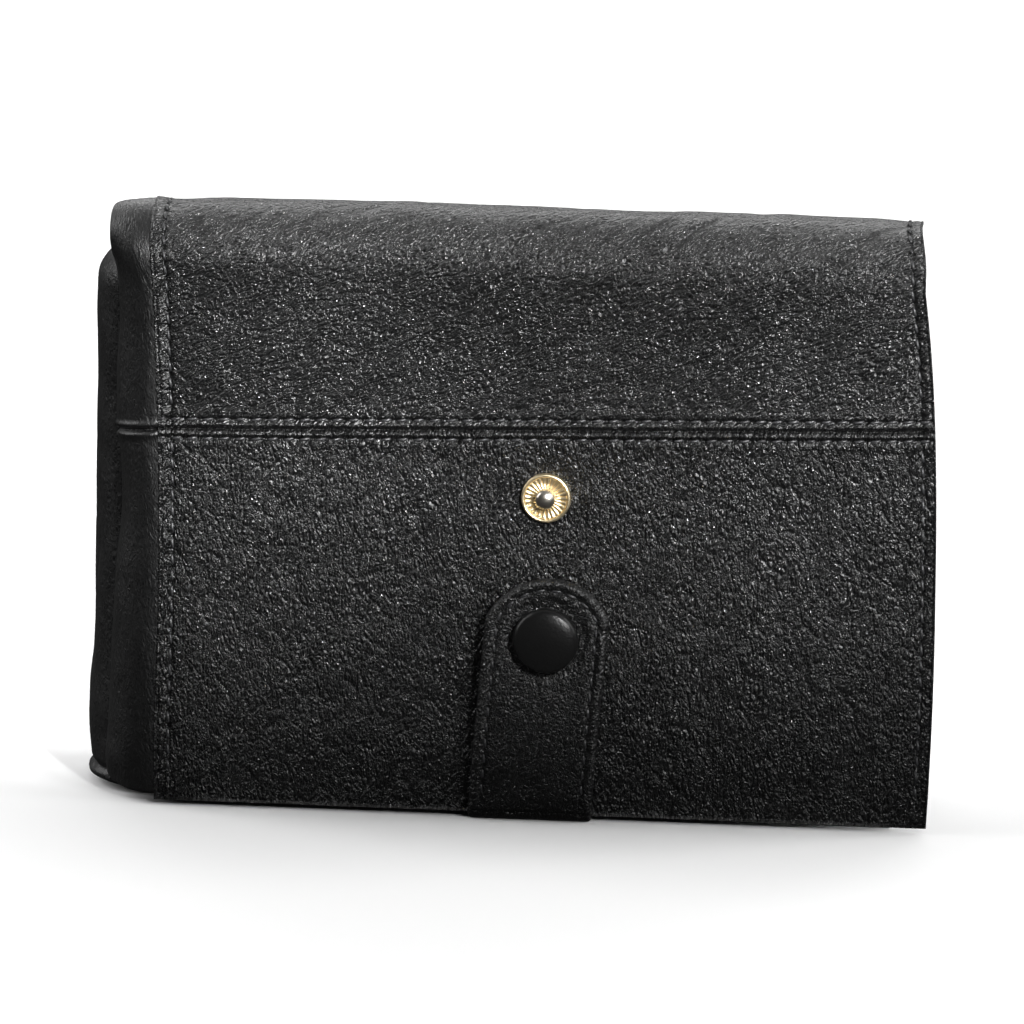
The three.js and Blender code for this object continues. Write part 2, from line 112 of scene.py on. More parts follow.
BACK_FOLD_END = BACK_FOLD_START + BACK_FOLD * (math.pi / 2 - SLOPE)
BACK_DROP = 9
BACK_LAP = 2.5
BACK_SEAM = BACK_FOLD_END + BACK_DROP
PANEL_FOOT = 1.2
BORDER_FOOT = 1.6

# the border strip
BORDER_ROUND = BORDER_HI[0] - BORDER_LO[0]
BORDER_DROP = BORDER_LO[1] - FRONT
BORDER_FLAT = 1.0
TOP_SHOULDER = 2.2

# the strap, its cap and the studs
STRAP_MID = (SEWN_LO[0] + SEWN_HI[0]) / 2
STRAP_HALF = (SEWN_HI[0] - SEWN_LO[0]) / 2
STRAP_LEAN = 0.0875
STRAP_THICK = 1.7
STRAP_INSET = 2.7
STRAP_TIP = TAB_HI[2]
TIP_RISE = 9.5
SHOULDER = STRAP_TIP - TIP_RISE
TIP_RADIUS = (STRAP_HALF**2 + TIP_RISE**2) / (2 * TIP_RISE)
TIP_CENTRE = STRAP_TIP - TIP_RADIUS
STRAP_BACK = BACK + GAP + STRAP_THICK
STRAP_FOOT = FRONT - 0.4 - STRAP_THICK
CAP_X, CAP_Z = (CAP_LO[0] + CAP_HI[0]) / 2, (CAP_LO[2] + CAP_HI[2]) / 2
STUD_X, STUD_Z = (STUD_LO[0] + STUD_HI[0]) / 2, (STUD_LO[2] + STUD_HI[2]) / 2
KNOB_HALF = (KNOB_HI[0] - KNOB_LO[0]) / 2
FLUTES = 26


# ---------- noise ----------
def noise2(x, y, seed):
    """Smooth gradient noise, about -0.7 to 0.7, one cell per unit."""
    angles = np.random.default_rng(seed).random((256, 256)) * 2 * np.pi
    xi, yi = np.floor(x).astype(int), np.floor(y).astype(int)
    fx, fy = x - xi, y - yi
    u, v = fx**3 * (fx * (6 * fx - 15) + 10), fy**3 * (fy * (6 * fy - 15) + 10)

    def corner(i, j):
        a = angles[(xi + i) % 256, (yi + j) % 256]
        return np.cos(a) * (fx - i) + np.sin(a) * (fy - j)

    low = corner(0, 0) * (1 - u) + corner(1, 0) * u
    high = corner(0, 1) * (1 - u) + corner(1, 1) * u
    return low * (1 - v) + high * v


def creases(x, y, angle, along, across, seed):
    """Thin wandering valleys, -1 in a valley and 0 between, running at an angle in degrees."""
    a = math.radians(angle)
    u = (x * math.cos(a) + y * math.sin(a)) / along
    v = (-x * math.sin(a) + y * math.cos(a)) / across
    wander = noise2(u * 0.9 + 7, v * 0.4 + 3, seed + 1) * 0.8
    n = noise2(u, v + wander, seed)
    strength = np.clip(0.35 + 1.6 * noise2(u * 0.7, v * 0.35, seed + 2), 0, 1)
    return -np.exp(-((n / 0.09) ** 2)) * strength


def bump(d, width):
    """A round hump, 1 in the middle, with its shoulders about one width away."""
    return np.exp(-((d / width) ** 2))


def smooth(t):
    """An even step from 0 to 1 while t goes from 0 to 1."""
    t = np.clip(t, 0, 1)
    return t * t * (3 - 2 * t)


# ---------- mesh making ----------
def mesh_object(name, verts, faces, material, uv=None, crease=40):
    """A smooth mesh from points in millimetres. Edges sharper than crease degrees stay sharp."""
    mesh = bpy.data.meshes.new(name)
    mesh.from_pydata((np.asarray(verts) * MM).tolist(), [], faces)
    mesh.validate()
    mesh.update()
    mesh.polygons.foreach_set("use_smooth", [True] * len(mesh.polygons))
    if uv is not None:
        layer = mesh.uv_layers.new(name="UVMap")
        loops = np.zeros(len(mesh.loops), int)
        mesh.loops.foreach_get("vertex_index", loops)
        layer.data.foreach_set("uv", (np.asarray(uv)[loops] * 0.01).ravel())
    if crease:
        mesh.set_sharp_from_angle(angle=math.radians(crease))
    obj = bpy.data.objects.new(name, mesh)
    bpy.context.scene.collection.objects.link(obj)
    obj.data.materials.append(material)
    return obj


def grid_faces(nu, nv, offset=0, flip=False):
    """The quads of a grid of nu by nv points."""
    i, j = np.meshgrid(np.arange(nu - 1), np.arange(nv - 1), indexing="ij")
    a = offset + i * nv + j
    quads = np.stack([a, a + nv, a + nv + 1, a + 1], -1).reshape(-1, 4)
    return quads[:, ::-1] if flip else quads


def rim_faces(nu, nv, offset):
    """Quads that join the border of a grid to the same border of a second grid."""
    border = [i * nv for i in range(nu)]
    border += [(nu - 1) * nv + j for j in range(1, nv)]
    border += [i * nv + nv - 1 for i in range(nu - 2, -1, -1)]
    border += [j for j in range(nv - 2, 0, -1)]
    faces = []
    for k, a in enumerate(border):
        b = border[(k + 1) % len(border)]
        faces.append([b, a, a + offset, b + offset])
    return faces


def sheet(name, nominal, normal, edge, thick, height, uv, material, flip=False):
    """A closed sheet of leather with rounded edges: the outer side carries the height."""
    r = thick / 2
    inside = np.clip(r - edge, 0, r)
    round_off = r - np.sqrt(np.maximum(r * r - inside * inside, 0))
    relief = height * smooth(edge / r)
    outer = nominal + normal * (relief - round_off)[..., None]
    inner = nominal - normal * (thick - round_off + 0.02)[..., None]
    nu, nv = edge.shape
    verts = np.concatenate([outer.reshape(-1, 3), inner.reshape(-1, 3)])
    faces = np.concatenate([
        grid_faces(nu, nv, 0, flip),
        grid_faces(nu, nv, nu * nv, not flip),
    ]).tolist()
    rim = rim_faces(nu, nv, nu * nv)
    if flip:
        rim = [f[::-1] for f in rim]
    uvs = np.concatenate([uv.reshape(-1, 2)] * 2)
    return mesh_object(name, verts, faces + rim, material, uvs)


def spaced(length, step, fine=()):
    """Sample places from 0 to length: fine near both ends and near the places in fine."""
    ends = np.array([0.04, 0.12, 0.24, 0.38, 0.55, 0.75, 1.0])
    places = [np.linspace(0, length, max(2, int(length / step) + 1)), ends, length - ends]
    for middle, reach, small in fine:
        places.append(np.arange(middle - reach, middle + reach + small / 2, small))
    every = np.unique(np.round(np.concatenate(places), 4))
    every = every[(every >= 0) & (every <= length)]
    kept = [every[0]]
    for value in every[1:]:
        if value - kept[-1] > 0.035:
            kept.append(value)
    kept[-1] = length
    return np.array(kept)


def lathe(name, profile, centre, material, around=64, relief=None, crease=35):
    """Turned about an axis that points to the front; profile is (radius, distance in front)."""
    verts, faces = [], []
    n = len(profile)
    for k in range(around):
        a = 2 * math.pi * k / around
        for i, (r, h) in enumerate(profile):
            lift = relief(r, a) if relief else 0
            verts.append([
                centre[0] + r * math.cos(a), centre[1] - h - lift, centre[2] + r * math.sin(a)])
    for k in range(around):
        m = (k + 1) % around
        for i in range(n - 1):
            faces.append([k * n + i, k * n + i + 1, m * n + i + 1, m * n + i])
    obj = mesh_object(name, verts, faces, material, crease=0)
    tidy(obj, crease)
    return obj


def tidy(obj, crease=35):
    """Merges doubled points, drops empty faces and turns the faces outward."""
    bm = bmesh.new()
    bm.from_mesh(obj.data)
    bmesh.ops.remove_doubles(bm, verts=bm.verts, dist=1e-6)
    bmesh.ops.dissolve_degenerate(bm, edges=bm.edges, dist=1e-7)
    bmesh.ops.recalc_face_normals(bm, faces=bm.faces)
    bm.to_mesh(obj.data)
    bm.free()
    obj.data.polygons.foreach_set("use_smooth", [True] * len(obj.data.polygons))
    obj.data.set_sharp_from_angle(angle=math.radians(crease))


def stitch_row(name, places, along, normal, radius=STITCH_RADIUS):
    """Thread between needle holes: one short rounded bar for each place, all in one mesh."""
    rings, sides = 7, 8
    lean, drift = math.cos(STITCH_SLANT), math.sin(STITCH_SLANT)
    verts, faces = [], []
    for k in range(len(places)):
        t = along[k] / np.linalg.norm(along[k])
        n = normal[k] / np.linalg.norm(normal[k])
        side = np.cross(n, t)
        t, side = t * lean + side * drift, side * lean - t * drift
        base = len(verts)
        for i in range(rings):
            c = math.cos(math.pi * i / (rings - 1))
            w = math.sin(math.pi * i / (rings - 1)) ** 0.5
            dip = radius * (0.35 - 1.5 * c * c * c * c)
            for j in range(sides):
                b = 2 * math.pi * j / sides
                ring = side * math.cos(b) * radius * w + n * math.sin(b) * radius * w * 0.8
                verts.append(places[k] + t * c * STITCH_LENGTH / 2 + n * (dip - STITCH_SINK) + ring)
        for i in range(rings - 1):
            for j in range(sides):
                m = (j + 1) % sides
                faces.append([
                    base + i * sides + j, base + i * sides + m,
                    base + (i + 1) * sides + m, base + (i + 1) * sides + j])
    obj = mesh_object(name, verts, faces, THREAD, crease=0)
    tidy(obj, 60)
    return obj


# ---------- materials ----------
def nodes_of(name):
    """A new material with one shader joined to its output."""
    material = bpy.data.materials.new(name)
    material.use_nodes = True
    tree = material.node_tree
    tree.nodes.clear()
    out = tree.nodes.new("ShaderNodeOutputMaterial")
    shader = tree.nodes.new("ShaderNodeBsdfPrincipled")
    tree.links.new(shader.outputs["BSDF"], out.inputs["Surface"])
    return material, tree, shader


def add_node(tree, kind, inputs, **settings):
    """A new node. Its inputs are values or outputs of other nodes, its settings are properties."""
    node = tree.nodes.new("ShaderNode" + kind)
    for key, value in settings.items():
        setattr(node, key, value)
    for socket, value in inputs.items():
        if isinstance(value, bpy.types.NodeSocket):
            tree.links.new(value, node.inputs[socket])
        else:
            node.inputs[socket].default_value = value
    return node


def plain(name, color, roughness, metallic=0.0, grain=0.0, grain_scale=400.0, specular=0.5):
    """A uniform finish with a slight procedural unevenness of its roughness and surface."""
    material, tree, shader = nodes_of(name)
    shader.inputs["Base Color"].default_value = (*color, 1)
    shader.inputs["Metallic"].default_value = metallic
    shader.inputs["Specular IOR Level"].default_value = specular
    place = add_node(tree, "TexCoord", {}).outputs["Object"]
    noise = add_node(tree, "TexNoise", {"Vector": place, "Scale": grain_scale, "Detail": 4})
    fleck = noise.outputs["Fac"]
    low, high = max(0.02, roughness - 0.06), min(1.0, roughness + 0.06)
    spread = add_node(tree, "MapRange", {"Value": fleck, "To Min": low, "To Max": high})
    tree.links.new(spread.outputs["Result"], shader.inputs["Roughness"])
    if grain:
        relief = add_node(tree, "Bump", {"Height": fleck, "Strength": grain, "Distance": 0.0002})
        tree.links.new(relief.outputs["Normal"], shader.inputs["Normal"])
    return material


def calculate(tree, operation, a, b, clamp=False):
    """One step of arithmetic between two values."""
    return add_node(tree, "Math", {0: a, 1: b}, operation=operation, use_clamp=clamp).outputs[0]


def weighted_sum(tree, terms):
    """The sum of (value, weight) pairs."""
    total, *rest = [calculate(tree, "MULTIPLY", value, weight) for value, weight in terms]
    for term in rest:
        total = calculate(tree, "ADD", total, term)
    return total


def grain_place(tree, angle):
    """A leather piece's own coordinates, slightly warped, with x along the pebbles."""
    uv = add_node(tree, "UVMap", {}, uv_map="UVMap").outputs["UV"]
    warp = add_node(tree, "TexNoise", {"Vector": uv, "Scale": 9, "Detail": 3}).outputs["Color"]
    shift = add_node(tree, "VectorMath", {0: warp, 1: (0.035, 0.035, 0), 2: uv},
                     operation="MULTIPLY_ADD")
    turn = add_node(tree, "VectorRotate", {"Vector": shift.outputs[0], "Angle": math.radians(-angle)},
                    rotation_type="Z_AXIS")
    return turn.outputs["Vector"]


def in_cells(tree, place, size, long):
    """Coordinates with one unit to a cell that is size millimetres wide and long times as long."""
    scale = (100 / (size * long), 100 / size, 1)
    return add_node(tree, "VectorMath", {0: place, 1: scale}, operation="MULTIPLY").outputs[0]


def pebbles(tree, place, size, long, sharp):
    """Flat pebbles, 1 on top and 0 in the valleys between them; a small sharp makes them steep."""
    cells = add_node(tree, "TexVoronoi",
                     {"Vector": in_cells(tree, place, size, long), "Scale": 1, "Randomness": 0.9},
                     feature="DISTANCE_TO_EDGE")
    ramp = add_node(tree, "MapRange", {"Value": cells.outputs["Distance"], "From Max": sharp},
                    interpolation_type="SMOOTHSTEP")
    return ramp.outputs["Result"]


def clouds(tree, place, size):
    """Soft even noise with patches of about size millimetres."""
    return add_node(tree, "TexNoise", {"Vector": in_cells(tree, place, size, 1.0), "Scale": 1,
                                       "Detail": 2}).outputs["Fac"]


def leather(name, angle, stretch, cell, depth, roughness, crease_depth=0.3):
    """Black grained leather: pebbles of cell millimetres drawn out along an angle, and wrinkles; painted
    shade darkens the valleys between the pebbles.
    """
    material, tree, shader = nodes_of(name)
    place = grain_place(tree, angle)
    coarse = pebbles(tree, place, cell * 1.25, stretch, 0.42)
    fine = pebbles(tree, place, cell * 0.62, stretch * 0.8, 0.42)
    wrinkle = pebbles(tree, place, cell * 3.6, stretch * 1.5, 0.12)
    patches = clouds(tree, place, cell * 13)
    pores = clouds(tree, place, 0.35)
    many = calculate(tree, "MULTIPLY", calculate(tree, "SUBTRACT", patches, 0.2), 1.6, clamp=True)
    patchy = calculate(tree, "MULTIPLY", coarse, calculate(tree, "ADD", many, 0.35))
    height = weighted_sum(tree, [(patchy, 0.8), (fine, 0.36), (wrinkle, crease_depth), (pores, 0.16)])
    relief = add_node(tree, "Bump", {"Height": height, "Strength": 1.0, "Distance": 0.00034 * depth})
    # the pebbles' tops are polished, the valleys stay dull
    polish = calculate(tree, "MULTIPLY", fine, calculate(tree, "ADD", patches, 0.3), clamp=True)
    rough = add_node(tree, "MapRange", {"Value": polish, "To Min": roughness + 0.2,
                                        "To Max": roughness - 0.05})
    # painted shade: the valleys between the pebbles get a far darker colour than the pebble tops, as if
    # shade fell in them
    valley = (*[BLACK * share for share in (0.35, 0.35, 0.37)], 1)
    pebble = (*[BLACK * share for share in (1.1, 1.1, 1.15)], 1)
    raised = calculate(tree, "MULTIPLY", height, 0.6, clamp=True)
    painted_grain_shade = add_node(tree, "Mix", {"A": valley, "B": pebble, "Factor": raised}, data_type="RGBA")
    tree.links.new(painted_grain_shade.outputs["Result"], shader.inputs["Base Color"])
    tree.links.new(rough.outputs["Result"], shader.inputs["Roughness"])
    tree.links.new(relief.outputs["Normal"], shader.inputs["Normal"])
    return material


BLACK = 0.0025
UPPER_LEATHER = leather("leather_upper", 34, 2.2, 0.72, depth=1.0, roughness=0.20, crease_depth=0.4)
LOWER_LEATHER = leather("leather_lower", 84, 1.8, 0.80, depth=1.25, roughness=0.20, crease_depth=0.45)
STRAP_LEATHER = leather("leather_strap", 60, 1.4, 0.78, depth=0.9, roughness=0.27)
SMOOTH_LEATHER = leather("leather_smooth", 85, 2.2, 0.8, depth=0.3, roughness=0.28)
CAP_LEATHER = plain("leather_cap", (0.004, 0.004, 0.004), 0.30, grain=0.3, grain_scale=1500,
                    specular=0.25)
THREAD = plain("thread", (0.014, 0.014, 0.015), 0.42, grain=0.5, grain_scale=3000)
GOLD = plain("gold", (0.94, 0.78, 0.50), 0.36, metallic=1.0, grain=0.04, grain_scale=900)
PEWTER = plain("pewter", (0.60, 0.56, 0.49), 0.30, metallic=1.0, grain=0.04, grain_scale=900)
SUEDE = plain("suede", (0.030, 0.029, 0.031), 0.95, grain=0.9, grain_scale=2500, specular=0.2)
BOARD = plain("board", (0.012, 0.012, 0.011), 0.9, grain=0.4, grain_scale=700, specular=0.2)
TAPE = plain("tape", (0.012, 0.012, 0.013), 0.8, grain=0.8, grain_scale=1800, specular=0.3)


# ---------- the wrap: front, fold, top, back ----------
def left_edge(s):
    """The x of the panel's left edge, slightly bowed."""
    bow = 0.8 * (1 - smooth(s / 22)) + 1.8 * np.sin(np.pi * np.clip(s, 0, FOLD_START) / FOLD_START)
    return LEFT + bow - 1.2 * smooth((s - FOLD_START + 8) / 24)


def right_edge(s):
    """The x of the panel's right edge: widest at a third of its height, narrower to the back."""
    z, widest = np.minimum(s, TOP), 50
    below = np.clip((widest - z) / widest, 0, 1)
    above = np.clip((z - widest) / (FOLD_START - widest), 0, 1)
    bowed = RIGHT + 0.2 - 1.4 * below**2 - 3.4 * above**3
    bowed = bowed - 2.0 * smooth((s - FOLD_START - 4) / (FOLD * 1.2))
    crest = FOLD_START + FOLD * math.pi / 2
    share = np.clip((s - crest) / (BACK_FOLD_END - crest), 0, 1)
    return bowed - (bowed - BACK_RIGHT) * share


def seam_at(x):
    """How high the cross seam runs at x."""
    return SEAM_LEFT + (SEAM_RIGHT - SEAM_LEFT) * (x - LEFT) / (RIGHT - LEFT)


def wrap(s):
    """(y, z) and the outward normal at a distance s along the leather from the front's foot."""
    a = np.clip((s - FOLD_START) / FOLD, 0, CREST)
    b = SLOPE + np.clip((s - BACK_FOLD_START) / BACK_FOLD, 0, math.pi / 2 - SLOPE)
    down = np.maximum(s - BACK_FOLD_END, 0)
    run = np.clip(s, FOLD_END, BACK_FOLD_START) - FOLD_END
    on_front = s < BACK_FOLD_START
    y = np.where(
        on_front, FRONT + FOLD - FOLD * np.cos(a) + run * math.cos(SLOPE),
        BACK - BACK_FOLD + BACK_FOLD * np.sin(b))
    z = np.where(
        on_front, np.minimum(s, FOLD_START) + FOLD * np.sin(a) - run * math.sin(SLOPE),
        BACK_FOLD_Z + BACK_FOLD * np.cos(b) - down)
    ny = np.where(on_front, -np.cos(a), np.sin(b))
    nz = np.where(on_front, np.sin(a), np.cos(b))
    return y, z, ny, nz


def holes(distance):
    """1 at the needle holes and 0 in the middle of each stitch."""
    return 0.5 + 0.5 * np.cos(2 * np.pi * (distance / PITCH))


def edge_height(inward, hole, swell, place, width):
    """A turned edge: a swelling at its place, then the groove that the stitches pull in."""
    groove = (0.14 + 0.34 * hole) * bump(inward - EDGE_STITCH, 0.5)
    return swell * bump(inward - place, width) - groove


def cover_height(x, s):
    """How far the panel's surface stands off its nominal face, in millimetres."""
    h = 0.55 * noise2(x / 46 + 3, s / 40 + 1, 11) + 0.28 * noise2(x / 19, s / 17, 12)
    h += 0.10 * noise2(x / 7.5, s / 6.5, 13)
    h -= 1.0 * bump(x - LEFT, 13) + 1.0 * bump(RIGHT - x, 11) + 0.8 * bump(s, 14)
    upper = smooth((s - seam_at(x)) / 2)
    lines = creases(x, s, 34, 16, 3.4, 21) + 0.7 * creases(x, s, 52, 11, 2.3, 24)
    uprights = creases(x, s, 80, 9, 2.7, 31) + 0.7 * creases(x, s, 60, 7, 1.9, 34)
    long_lines = creases(x, s, 37, 55, 7.5, 27)
    h += (0.12 * lines + 0.40 * long_lines) * upper + 0.24 * uprights * (1 - upper)
    # the felled seam: a groove, a puffed ridge on each side, then a row of stitches
    d = s - seam_at(x)
    hole = holes(x - LEFT)
    h += -0.5 * bump(d, 0.3) + (0.30 + 0.26 * (1 - hole)) * bump(np.abs(d) - 1.1, 0.55)
    h -= (0.16 + 0.34 * hole) * bump(np.abs(d) - SEAM_STITCH, 0.45)
    h += 0.12 * bump(np.abs(d) - 3.6, 1.1)
    # turned and stitched side edges
    h += edge_height(x - left_edge(s), holes(s), 0.4, 1.1, 0.85)
    h += edge_height(right_edge(s) - x, holes(s), 0.3, 1.3, 1.0)
    # the leather pulls in round the stud
    dx, dz = x - STUD_X, s - STUD_Z
    r = np.hypot(dx, dz)
    around = np.arctan2(dz, dx)
    h -= 0.5 * bump(r, 8.5)
    folds = np.cos(5 * around + 0.6) * 0.6 + np.cos(3 * around - 1.0) * 0.4
    h += 0.26 * folds * bump(r - 9, 5.0)
    return h


def cover(name, material, s_low, s_high, seam_low):
    """A piece of the wrap. Its lower border follows the seam, or else its upper border does."""
    step, fine = 0.6, 0.22
    nominal, width = s_high - s_low, RIGHT - LEFT
    near_seam = (2.2 if seam_low else nominal - 2.2, 2.6, fine)
    v = spaced(nominal, step, [near_seam]) / nominal
    u = spaced(width, step, [(1.9, 2.0, fine), (width - 2.3, 2.4, fine)]) / width
    uu, vv = np.meshgrid(u, v, indexing="ij")
    seam = seam_at(LEFT + uu * width)
    low, high = (seam, s_high) if seam_low else (s_low, seam)
    s = low + (high - low) * vv
    left = left_edge(s)
    x = left + uu * (right_edge(s) - left)
    y, z, ny, nz = wrap(s)
    edge = np.minimum(x - left, right_edge(s) - x)
    edge = np.minimum(edge, high - s if seam_low else s - low)
    normal = np.stack([np.zeros_like(x), ny, nz], -1)
    points = np.stack([x, y, z], -1)
    uv = np.stack([x, s], -1)
    return sheet(name, points, normal, edge, LEATHER, cover_height(x, s), uv, material)


def cover_point(x, s):
    """Points on the panels' surface and the normals there."""
    y, z, ny, nz = wrap(s)
    h = cover_height(x, s)
    points = np.stack([x, y + ny * h, z + nz * h], -1)
    return points, np.stack([np.zeros_like(x), ny, nz], -1)


def row_on_cover(name, xs, ss, bends=False):
    """Stitches on the wrap along a line of (x, s) places."""
    places, normals = cover_point(xs, ss)
    ahead, _ = cover_point(xs + np.gradient(xs) * 0.1, ss + np.gradient(ss) * 0.1)
    obj = stitch_row(name, places, ahead - places, normals)
    if bends:
        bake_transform(obj)
    else:
        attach(obj, "lid")


def panels():
    """The lower panel, and the upper one that runs over the fold to the back seam."""
    lower = cover("panel_lower", LOWER_LEATHER, PANEL_FOOT, SEAM_LEFT, seam_low=False)
    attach(lower, "lid")
    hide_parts("lid_lower")
    upper = cover("panel_upper", UPPER_LEATHER, SEAM_LEFT, BACK_SEAM, seam_low=True)
    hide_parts("lid_upper", "top_cover")
    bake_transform(upper)


def panel_stitches():
    """Two rows along the cross seam and one down each side, each stitch between two holes."""
    half = PITCH / 2
    x = np.arange(LEFT + half, RIGHT - 1.5, PITCH)
    row_on_cover("seam_stitches_low", x, seam_at(x) - SEAM_STITCH)
    row_on_cover("seam_stitches_high", x, seam_at(x) + SEAM_STITCH)
    sides = (("left", left_edge, EDGE_STITCH, SEAM_LEFT),
             ("right", right_edge, -EDGE_STITCH, SEAM_RIGHT))
    for side, edge, inset, seam in sides:
        s = np.arange(PITCH + half, seam - 3.2, PITCH)
        row_on_cover("edge_stitches_%s_low" % side, edge(s) + inset, s)
    for side, edge, inset, seam in sides:
        s = np.arange(math.ceil(seam / PITCH + 1) * PITCH + half, BACK_SEAM - 2.5, PITCH)
        row_on_cover("edge_stitches_%s_high" % side, edge(s) + inset, s, bends=True)


# ---------- the border strip on the left ----------
def border_width(s):
    """How far the strip reaches to the left of the panel: a waist, a small lobe at the foot."""
    return BORDER_ROUND - 2.2 * smooth((s - 85) / 35) - 1.7 * bump(s - 74, 15) + 0.9 * bump(s - 9, 5)


def border(name, s_low, s_high, has_foot):
    """The strip that turns back from the panel's left edge, a apart and s along the wrap."""
    reach = BORDER_FLAT + BORDER_ROUND * math.pi / 2
    seam_end = s_high - s_low if has_foot else 0
    a = spaced(reach, 0.6)
    s = s_low + spaced(s_high - s_low, 0.8, [(seam_end, 2.5, 0.25)])
    aa, ss = np.meshgrid(a, s, indexing="ij")
    if has_foot:
        lift = 0.8 + 3.2 * (aa / reach) ** 2
        ss = ss + lift * (1 - smooth((ss - s_low) / 25))
    phi = np.clip((aa - BORDER_FLAT) / BORDER_ROUND, 0, math.pi / 2)
    over_fold = smooth((ss - FOLD_START + 4) / (FOLD * 1.1))
    depth = BORDER_ROUND - (BORDER_ROUND - TOP_SHOULDER) * over_fold
    width = border_width(ss)
    inset = BORDER_DROP + depth * (1 - np.cos(phi))
    x = left_edge(ss) + 0.5 - np.minimum(aa, BORDER_FLAT) - (width - 0.5) * np.sin(phi)
    y, z, ny, nz = wrap(ss)
    y, z = y - ny * inset, z - nz * inset
    out, face = np.sin(phi) / width, np.cos(phi) / depth
    size = np.hypot(out, face)
    out, face = out / size, face / size
    normal = np.stack([-out, ny * face, nz * face], -1)
    h = (0.7 * noise2(ss / 34 + 5, aa / 30, 41) + 0.3 * noise2(ss / 12, aa / 9, 42)) * smooth(aa / 6)
    h += 0.1 * creases(aa, ss, 86, 14, 2.6, 43)
    gap = ss - SEAM_LEFT + 0.12 * aa
    h += (-0.7 * bump(gap, 0.45) + 0.4 * bump(np.abs(gap) - 1.2, 0.7)) * smooth(aa / 1.5)
    edge = np.minimum(reach - aa, s[None, :] - s_low if has_foot else s_high - ss)
    uv = np.stack([aa + 40, ss], -1)
    points = np.stack([x, y, z], -1)
    return sheet(name, points, normal, edge, LEATHER, h, uv, SMOOTH_LEATHER, flip=True)


def border_strip():
    """The lower and the upper piece of the border strip."""
    lower = border("border_lower", BORDER_FOOT, SEAM_LEFT, has_foot=True)
    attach(lower, "lid")
    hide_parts("lid_border_lower")
    upper = border("border_upper", SEAM_LEFT, BACK_SEAM, has_foot=False)
    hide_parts("lid_border_upper", "top_border")
    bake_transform(upper)


# ---------- padded ends ----------
def padded_end(name, flat_x, bulge_x, y_range, z_range, seed, node):
    """A leather end filled with foam: flat against the tray, bulging outward, its rim tucked in."""
    outward = math.copysign(1, bulge_x - flat_x)
    bulge = abs(bulge_x - flat_x)
    ny, nz = 60, 150
    v, w = np.meshgrid(np.linspace(-1, 1, ny), np.linspace(-1, 1, nz), indexing="ij")
    v, w = np.sin(v * math.pi / 2), np.sin(w * math.pi / 2)
    y_mid, y_half = (y_range[0] + y_range[1]) / 2, (y_range[1] - y_range[0]) / 2
    z_mid, z_half = (z_range[0] + z_range[1]) / 2, (z_range[1] - z_range[0]) / 2
    y, z = y_mid + y_half * v, z_mid + z_half * w
    head = np.clip((z_range[1] - z) / 9, 0, 1)
    foot = np.clip((z - z_range[0]) / 1.2, 0, 1)
    rounded = np.sqrt(1 - (1 - head) ** 2) * np.sqrt(1 - (1 - foot) ** 2)
    plump = (1 - np.abs(v) ** 2.3) ** 0.55 * rounded
    up = z - z_range[0]
    hem = 0.9 * bump(up - 1.6, 1.1) - 1.0 * bump(up - 3.6, 0.7)
    flare = 2.0 * bump(up - 14, 15)
    x = flat_x + outward * (bulge + flare + hem) * plump
    soft = np.minimum(plump * 2, 1)
    lift = (0.9 * noise2(z / 30 + seed, y / 26, seed) + 0.4 * noise2(z / 11, y / 9, seed + 1)) * soft
    lift += 0.35 * creases(y, z, 84, 22, 4.5, seed + 2) * soft
    x = x + outward * lift
    outer = np.stack([x, y, z], -1)
    inner = np.stack([np.full_like(x, flat_x - outward * 0.2), y, z], -1)
    count = ny * nz
    verts = np.concatenate([outer.reshape(-1, 3), inner.reshape(-1, 3)])
    flip = outward > 0
    faces = np.concatenate([
        grid_faces(ny, nz, 0, not flip),
        grid_faces(ny, nz, count, flip),
    ]).tolist()
    rim = rim_faces(ny, nz, count)
    faces += [f[::-1] for f in rim] if not flip else rim
    uv = np.concatenate([np.stack([y + 90, z], -1).reshape(-1, 2)] * 2)
    obj = mesh_object(name, verts, faces, SMOOTH_LEATHER, uv, crease=50)
    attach(obj, "case")
    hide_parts(node)


def padded_ends():
    """The left end, which is seen from the front, and the right one."""
    head = LEFT_PAD_HI[2] + 1.3
    padded_end("end_pad_left", LEFT_PAD_HI[0], LEFT_PAD_LO[0] + 2.0,
               (LEFT_PAD_LO[1] - 1, LEFT_PAD_HI[1] + 1), (1.2, head), 51, "left_cushion")
    padded_end("end_pad_right", RIGHT_PAD_LO[0], RIGHT_PAD_HI[0],
               (RIGHT_PAD_LO[1], RIGHT_PAD_HI[1]), (5.4, head), 61, "right_cushion")


